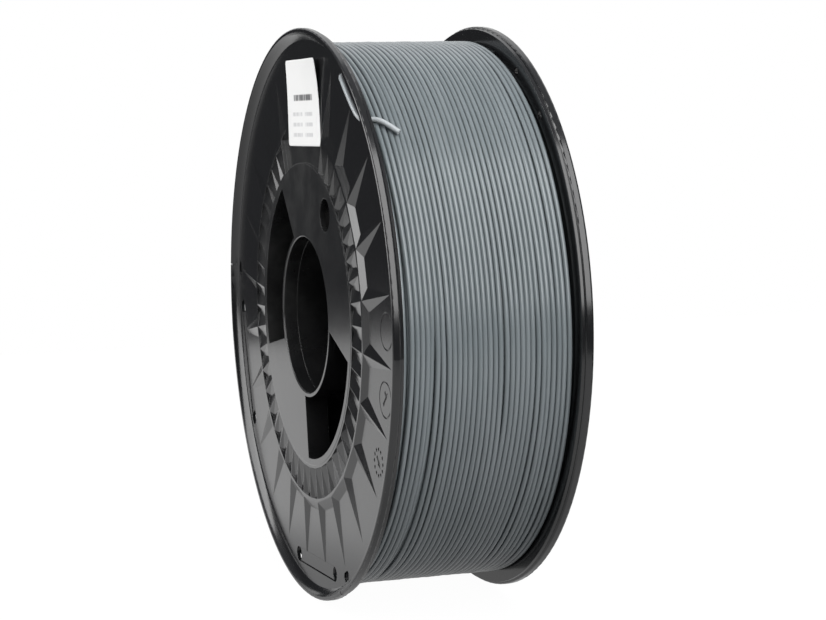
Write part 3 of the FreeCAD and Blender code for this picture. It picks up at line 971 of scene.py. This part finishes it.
@dataclass
class WoundFilament:
    """All the wound filament: the turns that show, the layer below them and the inner layers.

    Attributes:
        diameter: The filament's diameter.
        turn_radius: The outer turns' distance from the axis.
        half_width: Half of the room between the flanges.
        drum_radius: The drum's outside.
        first_angle: Where the loose end leaves the first turn.
        pitch: The mean step of the turns that show.
        turns: How many of them there are.
        drawn_diameter: The diameter that the turns are drawn with, pressed together as they are.
        layer_step: How far the layer below lies deeper.
        second_pitch: The step of its turns, which lean the other way.
        second_turns: How many of them there are.
        sway_angles: Where the sideways shift of the turns is given.
        sways: At some turns, the shift in millimetres at each of those angles.
    """

    diameter: float = 0.00175
    turn_radius: float = 0.094125
    half_width: float = 0.0297
    drum_radius: float = 0.0542
    first_angle: float = 80.0
    pitch: float = 0.00181
    turns: float = 31.1
    drawn_diameter: float = 0.00172
    layer_step: float = 0.00150
    second_pitch: float = -0.00184
    second_turns: float = 31.0
    sway_angles: tuple[float, ...] = (80, 60, 40, 20, 0, -20, -40, -64, -140, 140)
    sways: tuple[tuple[float, tuple[float, ...]], ...] = (
        (0.8, (0.0, 0.3, 0.6, 1.55, 2.35, 1.85, 1.55, 1.2, 0.5, 0.15)),
        (6.0, (0.3, 0.15, -0.1, 0.5, 1.2, 1.3, 1.15, 0.95, 0.55, 0.3)),
        (10.5, (0.85, 0.65, 0.45, 0.65, 1.2, 1.5, 1.3, 0.9, 0.6, 0.4)),
        (15.8, (0.75, 0.35, -0.25, 0.05, 0.95, 1.6, 1.4, 0.6, 0.65, 0.6)),
        (22.5, (0.45, 0.25, 0.0, 0.6, 1.3, 1.75, 1.3, 1.1, 0.8, 0.45)),
        (30.8, (0.1, 0.1, 0.2, 0.3, 0.5, 1.3, 1.75, 1.9, 1.1, 0.25)),
    )

    def outer_layer(self) -> Winding:
        """Return the turns that show, with their gaps and sunk stretches.

        Returns:
            The winding, ready to build.
        """
        openings = (
            Opening(0, -25, 66, 0.00030),
            Opening(1, -28, 72, 0.00025),
            Opening(2, -20, 60, 0.00012),
            Opening(3, -20, 50, 0.00010),
            Opening(4, -58, 4, 0.00045),
            Opening(5, -50, 0, 0.00030),
            Opening(6, -58, 22, 0.00032),
            Opening(12, 20, 66, 0.00014),
            Opening(17, -18, 14, 0.00040),
            Opening(23, -60, 8, 0.00045),
            Opening(24, -58, 18, 0.00034),
            Opening(27, -46, 70, 0.00034),
            Opening(28, -62, -32, 0.00040),
            Opening(29, -40, 58, 0.00030),
        )
        dips = (
            Dip(0, 180, 262, -0.0009),
            Dip(4, -64, 6, 0.00075),
            Dip(26, 22, 44, -0.00022),
            Dip(26, -30, 6, 0.00035),
            Dip(11, 30, 75, 0.00015),
            Dip(14, -40, 10, 0.00016),
            Dip(19, -20, 40, -0.00014),
        )
        return Winding("filament_outer_turns", self.turn_radius, -self.half_width + self.diameter / 2,
                       self.pitch, self.turns, self.first_angle, self.drawn_diameter / 2,
                       sway_angles=self.sway_angles, sways=self.sways, openings=openings, dips=dips)

    def second_layer(self) -> Winding:
        """Return the layer below, which leans the other way and shows through the gaps.

        Returns:
            The winding, ready to build.
        """
        return Winding("filament_second_layer", self.turn_radius - self.layer_step,
                       self.half_width - self.diameter / 2, self.second_pitch, self.second_turns,
                       self.first_angle, self.drawn_diameter / 2, steps=96, sides=8)

    def build(self, wound: bpy.types.Material) -> None:
        """Build the three pieces in the filament's finish.

        Args:
            wound: The finish of filament with a map.
        """
        core_radius = self.turn_radius - 2 * self.layer_step + self.diameter / 2
        core = FilamentCore(self.drum_radius, core_radius, self.half_width)
        Piece.settle(self.outer_layer().build(), wound, Slot.FILAMENT, ["filament_outer_layer"])
        Piece.settle(self.second_layer().build(), wound, Slot.FILAMENT)
        Piece.settle(core.build(), wound, Slot.FILAMENT, ["filament_core"])


@dataclass
class LooseEnd:
    """The filament's loose end: over the near rim's hole, along the face and back in by the next hole.

    Attributes:
        winding: The wound filament that it comes from.
        face: The near face's place along the axis.
        leave: The angle of the hole that it comes out of.
        enter: The angle of the hole that it goes back by.
        first_turn_y: The first turn's place along the axis.
        start_angle: Where the loose end leaves the first turn.
        start_pitch: How far the first turn moves along the axis in a whole turn.
        start_run: How far the route starts along that turn.
        first_run: The straight run after it.
        length: Its real length.
    """

    winding: WoundFilament
    face: float = -0.0313
    leave: float = 64.5
    enter: float = 49.5
    first_turn_y: float = -0.028825
    start_angle: float = 80.0
    start_pitch: float = 0.00234
    start_run: float = 0.00175
    first_run: float = 0.005
    length: float = 0.0641

    def around(self, extra: float, angle: float, y: float) -> Vector:
        """Return a point of the route.

        Args:
            extra: How far it lies outside the turns' radius.
            angle: Its angle.
            y: Its place along the axis.

        Returns:
            The point.
        """
        turn = math.radians(angle)
        radius = self.winding.turn_radius + extra
        return Vector((radius * math.cos(turn), y, radius * math.sin(turn)))

    def route(self) -> list[Vector]:
        """Return the points that guide the loose end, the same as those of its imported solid.

        Returns:
            The control points in order from the winding.
        """
        turn = math.radians(self.start_angle)
        radius = self.winding.turn_radius
        direction = Vector((-radius * math.sin(turn), self.start_pitch / (2 * math.pi),
                            radius * math.cos(turn))).normalized()
        start = self.around(0, self.start_angle, self.first_turn_y) - direction * self.start_run
        return [
            start,
            start - direction * self.first_run,
            self.around(0.0007, self.leave + 6.5, self.first_turn_y - 0.0001),
            self.around(0.0006, self.leave + 3.0, self.first_turn_y),
            self.around(0.0004, self.leave, self.first_turn_y),
            self.around(0.0004, self.leave, self.face - 0.0009),
            self.around(0.0002, self.leave - 3.2, self.face - 0.00115),
            self.around(-0.0002, self.leave - 6.8, self.face - 0.00125),
            self.around(-0.0001, self.enter + 4.2, self.face - 0.00125),
            self.around(0.0003, self.enter + 1.2, self.face - 0.00105),
            self.around(0.0005, self.enter - 0.2, self.face + 0.0003),
            self.around(0.0010, self.enter - 0.3, self.face + 0.0022),
            self.around(0.0020, self.enter - 0.9, self.face + 0.0044),
            self.around(0.0024, self.enter - 2.4, self.face + 0.0072),
            self.around(0.0025, self.enter - 4.6, self.face + 0.0102),
        ]

    def build(self, finish: bpy.types.Material) -> None:
        """Args:
            finish: The finish of filament without a map.
        """
        route = self.route()
        data = bpy.data.curves.new("filament_loose_end", "CURVE")
        data.dimensions = "3D"
        spline = data.splines.new("NURBS")
        spline.points.add(len(route) - 1)
        spline.points.foreach_set("co", np.array([(*point, 1.0) for point in route]).ravel())
        spline.order_u = 3
        spline.use_endpoint_u = True
        spline.resolution_u = 16
        data.bevel_depth = self.winding.diameter / 2
        data.bevel_resolution = 6
        data.use_fill_caps = True
        piece = bpy.data.objects.new("filament_loose_end", data)
        bpy.context.scene.collection.objects.link(piece)
        Piece.settle(piece, finish, Slot.FILAMENT, ["filament_tail"])


@dataclass
class Label:
    """The paper label: a thin sheet with round corners, whose upper corners have come up a little.

    Attributes:
        width: Its width.
        height: Its height.
        thickness: The paper's thickness.
        corner: Its corners' radius.
        turn: How far it is turned on the face, in degrees.
        lift_right: How far the upper right corner stands off the face.
        lift_left: How far the upper left one does.
        curl_right: How strongly the lift grows upwards and to the right, and where it begins.
        curl_left: The same to the left.
        curl_full: What both add up to at a corner.
        spokes: Points round the outline.
        rings: Rings from the middle to the outline.
    """

    width: float = 0.039
    height: float = 0.0302
    thickness: float = 0.0002
    corner: float = 0.0015
    turn: float = 3.7
    lift_right: float = 0.0020
    lift_left: float = 0.0008
    curl_right: tuple[float, float, float] = (0.75, 0.45, 0.35)
    curl_left: tuple[float, float, float] = (0.9, 0.35, 0.4)
    curl_full: float = 0.85
    spokes: int = 160
    rings: int = 40

    def outline(self) -> np.ndarray:
        """Return the sheet's outline: four quarter circles joined by straight edges.

        Each point is a corner's centre plus the corner's radius at its angle, and the straight edges have
        points at even steps between them.

        Returns:
            One line of two numbers for each spoke, once round.
        """
        half_width = self.width / 2 - self.corner
        half_height = self.height / 2 - self.corner
        centres = np.array([[1, 1], [-1, 1], [-1, -1], [1, -1]]) * [half_width, half_height]
        each = self.spokes // 8
        arcs = []
        for index, centre in enumerate(centres):
            angle = np.radians(90.0 * (index + np.arange(each) / (each - 1)))
            arc = centre + self.corner * np.stack([np.cos(angle), np.sin(angle)], axis=1)
            following = centres[(index + 1) % 4]
            end_angle = math.radians(90.0 * (index + 1))
            next_start = following + self.corner * np.array([math.cos(end_angle), math.sin(end_angle)])
            share = (np.arange(1, each + 1) / (each + 1))[:, None]
            arcs += [arc, arc[-1] * (1 - share) + next_start * share]
        return np.concatenate(arcs)

    def lift(self, flat: np.ndarray) -> np.ndarray:
        """Return how far the paper stands off the face: a cubed share of the way to each upper corner.

        Args:
            flat: Points on the flat sheet, from its middle.

        Returns:
            The distance from the face at each point.
        """
        across = flat[..., 0] / self.width + 0.5
        up = flat[..., 1] / self.height + 0.5
        right, left = [
            np.clip(up * rise + side * slant - start, 0, None) / self.curl_full
            for side, (rise, slant, start) in ((across, self.curl_right), (1 - across, self.curl_left))
        ]
        return self.lift_right * right**3 + self.lift_left * left**3 * (1 - right)

    def build(self, paper: bpy.types.Material) -> None:
        """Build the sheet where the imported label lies.

        The front is the outline drawn in towards its middle ring by ring, the back is the same sheet one
        thickness lower, and both close on a middle point.

        Args:
            paper: The label's finish.
        """
        low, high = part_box("label")
        centre = (np.array(low) + np.array(high)) / 2
        outline = self.outline()
        spokes = len(outline)
        share = np.linspace(0.0, 1.0, self.rings + 1)[1:]
        front = outline[None, :, :] * share[:, None, None]
        layers = np.concatenate([front, front[::-1]])
        lift = self.lift(layers)
        depth = np.concatenate([np.full(self.rings, self.thickness), np.zeros(self.rings)])
        height = depth[:, None] + lift
        middle_lift = float(self.lift(np.zeros(2)))
        flat = np.concatenate([layers.reshape(-1, 2), np.zeros((2, 2))])
        standing = np.concatenate([height.ravel(), [middle_lift + self.thickness, middle_lift]])
        turn = math.radians(self.turn)
        across = np.array([math.cos(turn), 0.0, math.sin(turn)])
        upward = np.array([-math.sin(turn), 0.0, math.cos(turn)])
        base = np.array([centre[0], high[1], centre[2]])
        points = base + flat[:, :1] * across + flat[:, 1:] * upward - standing[:, None] * AXIS
        quads = Piece.grid_faces(2 * self.rings, spokes, False, True)
        front_pole = 2 * self.rings * spokes
        last = (2 * self.rings - 1) * spokes
        fans = [(front_pole, index, (index + 1) % spokes) for index in range(spokes)]
        fans += [(front_pole + 1, last + (index + 1) % spokes, last + index) for index in range(spokes)]
        piece = Piece.mesh("paper_label", points, quads, fans)
        layer = piece.data.uv_layers.new(name="Front")
        corners = np.zeros(len(piece.data.loops), dtype=np.int32)
        piece.data.loops.foreach_get("vertex_index", corners)
        layer.data.foreach_set("uv", (flat[corners] / [self.width, self.height] + 0.5).ravel())
        Piece.settle(piece, paper, Slot.PAPER, ["label"])


class Moulding:
    """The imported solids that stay: the flanges, the drum and the bore's lining, in their finishes."""

    def __init__(self, nodes: Mapping[str, bpy.types.Object]) -> None:
        """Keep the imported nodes."""
        self.nodes = nodes

    def dress(self, names: Sequence[str], finish: MouldedPlastic) -> None:
        """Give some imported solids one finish.

        Args:
            names: The solids' names.
            finish: Their finish.
        """
        material = finish.make()
        for name in names:
            data = self.nodes[name].data
            data.materials.clear()
            data.materials.append(material)
            log.info("%s: finished as %s", name, finish.name)


def direction(azimuth: float, elevation: float) -> Vector:
    """Return the unit vector at an azimuth from -Y towards +X and an elevation, both in degrees."""
    turn, rise = math.radians(azimuth), math.radians(elevation)
    return Vector((math.sin(turn) * math.cos(rise), -math.cos(turn) * math.cos(rise), math.sin(rise)))


@dataclass(frozen=True)
class SoftBox:
    """A lamp with a lit rectangle that faces the spool.

    Attributes:
        name: The lamp's name.
        azimuth: Its azimuth from -Y towards +X.
        elevation: Its elevation.
        distance: How far it stands from the spool.
        width: Its width.
        height: Its height.
        radiance: How bright its face is, where white paper is 1.
        colour: Its light's colour.
    """

    name: str
    azimuth: float
    elevation: float
    distance: float
    width: float
    height: float
    radiance: float
    colour: Colour = (1.0, 1.0, 1.0)

    def build(self) -> None:
        """Place the lamp, hidden from the camera and turned to the spool."""
        lamp = bpy.data.lights.new(self.name, "AREA")
        lamp.shape = "RECTANGLE"
        lamp.size = self.width
        lamp.size_y = self.height
        lamp.energy = self.radiance * math.pi * self.width * self.height
        lamp.color = self.colour
        holder = bpy.data.objects.new(self.name, lamp)
        away = direction(self.azimuth, self.elevation)
        turned = (-away).to_track_quat("-Z", "Y").to_matrix().to_4x4()
        holder.matrix_world = Matrix.Translation(away * self.distance) @ turned
        holder.visible_camera = False
        bpy.context.scene.collection.objects.link(holder)


@dataclass
class Viewpoint:
    """The photograph's camera, as fitted to the edges of both rims.

    Attributes:
        azimuth: Its azimuth from -Y towards +X.
        elevation: Its elevation.
        distance: Its distance from the spool's middle, along its own line of sight.
        right: How far it stands to its right.
        up: How far it stands up.
        focal_pixels: The focal length in pixels of the photograph.
        image_width: The photograph's width in pixels.
        sensor_width: The sensor's width in millimetres.
    """

    azimuth: float = 70.837
    elevation: float = 8.453
    distance: float = 0.787985
    right: float = 0.00695
    up: float = 0.000098
    focal_pixels: float = 2212.7
    image_width: int = 826
    sensor_width: float = 36.0

    def build(self) -> None:
        """Place the camera so that it looks along its line of sight, without shift or blur."""
        back = direction(self.azimuth, self.elevation)
        turn = math.radians(self.azimuth)
        right = Vector((math.cos(turn), math.sin(turn), 0.0))
        upward = back.cross(right)
        data = bpy.data.cameras.new("photograph")
        data.sensor_fit = "HORIZONTAL"
        data.sensor_width = self.sensor_width
        data.lens = self.focal_pixels / self.image_width * self.sensor_width
        data.clip_start = 0.01
        data.clip_end = 20.0
        camera = bpy.data.objects.new("photograph", data)
        place = back * self.distance + right * self.right + upward * self.up
        turned = Matrix((right, upward, back)).transposed().to_4x4()
        camera.matrix_world = Matrix.Translation(place) @ turned
        bpy.context.scene.collection.objects.link(camera)
        bpy.context.scene.camera = camera


@dataclass
class Studio:
    """The white table, the dim room and the soft boxes that light the spool.

    Attributes:
        table_low: The table's nearest corner in x and y.
        table_high: Its farthest corner.
        table_level: The height that the spool stands on.
        shown_share: How much of the table reads as plain white to the camera and in reflections.
        shade: How far the spool's shade reaches under it, along x and along y.
        shade_edge: Where the shade begins to fade and where it ends, as shares of that.
        shade_strength: How much of the white a reflection loses there.
        table_colour: The table's own colour, which lights the spool from below.
        white_strength: How bright the table's white is.
        room_colour: The room's colour.
        ceiling_colour: The ceiling's colour.
        ceiling_rise: The heights, as parts of a unit vector, between which the room turns into ceiling.
        soft_boxes: The lamps.
    """

    table_low: tuple[float, float] = (-0.54, -0.90)
    table_high: tuple[float, float] = (0.55, 0.60)
    table_level: float = -0.10002
    shown_share: float = 0.80
    shade: tuple[float, float] = (0.13, 0.075)
    shade_edge: tuple[float, float] = (0.6, 1.25)
    shade_strength: float = 0.5
    table_colour: Colour = (0.15, 0.15, 0.153)
    white_strength: float = 1.22
    room_colour: Colour = (0.040, 0.041, 0.044)
    ceiling_colour: Colour = (0.42, 0.43, 0.45)
    ceiling_rise: tuple[float, float] = (0.25, 0.95)
    soft_boxes: tuple[SoftBox, ...] = (
        SoftBox("box_front_left", -14.0, 22.0, 1.2, 1.02, 1.02, 5.6),
        SoftBox("box_right", 99.0, 38.0, 1.1, 1.06, 1.34, 5.3),
        SoftBox("backdrop_behind", -110.0, 30.0, 1.4, 1.60, 1.30, 0.8),
    )

    def seen(self, graph: Graph) -> Field:
        """Return how much a ray sees the table as plain white, from the camera, reflected or through.

        Under the spool the table lies in its shade, so a reflection there loses a part of the white.

        Args:
            graph: The graph of the table's material.

        Returns:
            1 for the camera's rays, less for reflections in the shade, and 0 for the rest.
        """
        paths = graph.node("ShaderNodeLightPath", output="Is Camera Ray")
        glossy = graph.other(paths, "Is Glossy Ray")
        clear = graph.other(paths, "Is Transmission Ray")
        across, along, _ = graph.parts(graph.place())
        length, width = self.shade
        across, along = across / length, along / width
        away = graph.math("SQRT", across * across + along * along)
        kept = 1.0 - self.shade_strength * (1.0 - away.step(*self.shade_edge))
        return (paths + glossy * kept + clear).limited()

    def table(self) -> None:
        """Build the table: a flat grid that takes shadows and shows white to the camera."""
        steps = 24
        x = np.linspace(self.table_low[0], self.table_high[0], steps)
        y = np.linspace(self.table_low[1], self.table_high[1], steps)
        x, y = np.meshgrid(x, y, indexing="ij")
        points = np.stack([x, y, np.full_like(x, self.table_level)], axis=-1).reshape(-1, 3)
        quads = Piece.grid_faces(steps, steps, False, False)
        table = Piece.mesh("table", points, quads)
        material, graph = new_material("white_table")
        lit = graph.node("ShaderNodeBsdfDiffuse", inputs={"Color": (*self.table_colour, 1.0)})
        white = graph.node("ShaderNodeEmission",
                           inputs={"Color": (1.0, 1.0, 1.0, 1.0), "Strength": self.white_strength})
        mixed = graph.node("ShaderNodeMixShader",
                           inputs={0: self.seen(graph) * self.shown_share, 1: lit, 2: white})
        graph.add("ShaderNodeOutputMaterial", inputs={"Surface": mixed})
        table.data.materials.append(material)

    def room(self) -> None:
        """Build the room: white to the camera, and a dim room with a paler ceiling to everything else."""
        world = bpy.data.worlds.new("studio")
        world.use_nodes = True
        bpy.context.scene.world = world
        graph = Graph(world.node_tree)
        _, _, height = graph.parts(graph.place("Generated"))
        dim = graph.colours(height.step(*self.ceiling_rise), self.room_colour, self.ceiling_colour)
        camera = graph.node("ShaderNodeLightPath", output="Is Camera Ray")
        colour = graph.colours(camera, dim, (1.0, 1.0, 1.0))
        background = graph.node("ShaderNodeBackground", inputs={"Color": colour, "Strength": 1.0})
        graph.add("ShaderNodeOutputWorld", inputs={"Surface": background})

    def build(self) -> None:
        """Build the table, the room and the lamps."""
        self.table()
        self.room()
        for box in self.soft_boxes:
            box.build()
        bpy.context.scene.view_settings.view_transform = "Standard"


def main() -> None:
    """Build the camera, the loose end, the wound filament, the label, the finishes and the studio."""
    logging.basicConfig(level=logging.INFO, format="%(message)s")
    Viewpoint().build()
    winding = WoundFilament()
    wound_finish = DrawnFilament("filament_wound").make()
    # Painted light: the loose end gets the filament's colour made about twice as pale as the wound turns',
    # so it looks lit where it crosses the face; it is the same filament.
    painted_lit_loose_finish = DrawnFilament("filament_loose", colour=(0.37, 0.395, 0.405),
                                 shaded_colour=(0.31, 0.33, 0.34), follows_length=False).make()
    LooseEnd(winding).build(painted_lit_loose_finish)
    winding.build(wound_finish)
    Label().build(PrintedPaper("label_paper").make())
    moulding = Moulding(frame["nodes"])
    moulding.dress(["near_flange", "far_flange"], MouldedPlastic("flange_plastic"))
    moulding.dress(["winding_drum", "bore_tube"], MouldedPlastic("tube_plastic", roughness=0.13))
    Studio().build()


if __name__ == "__main__":
    main()
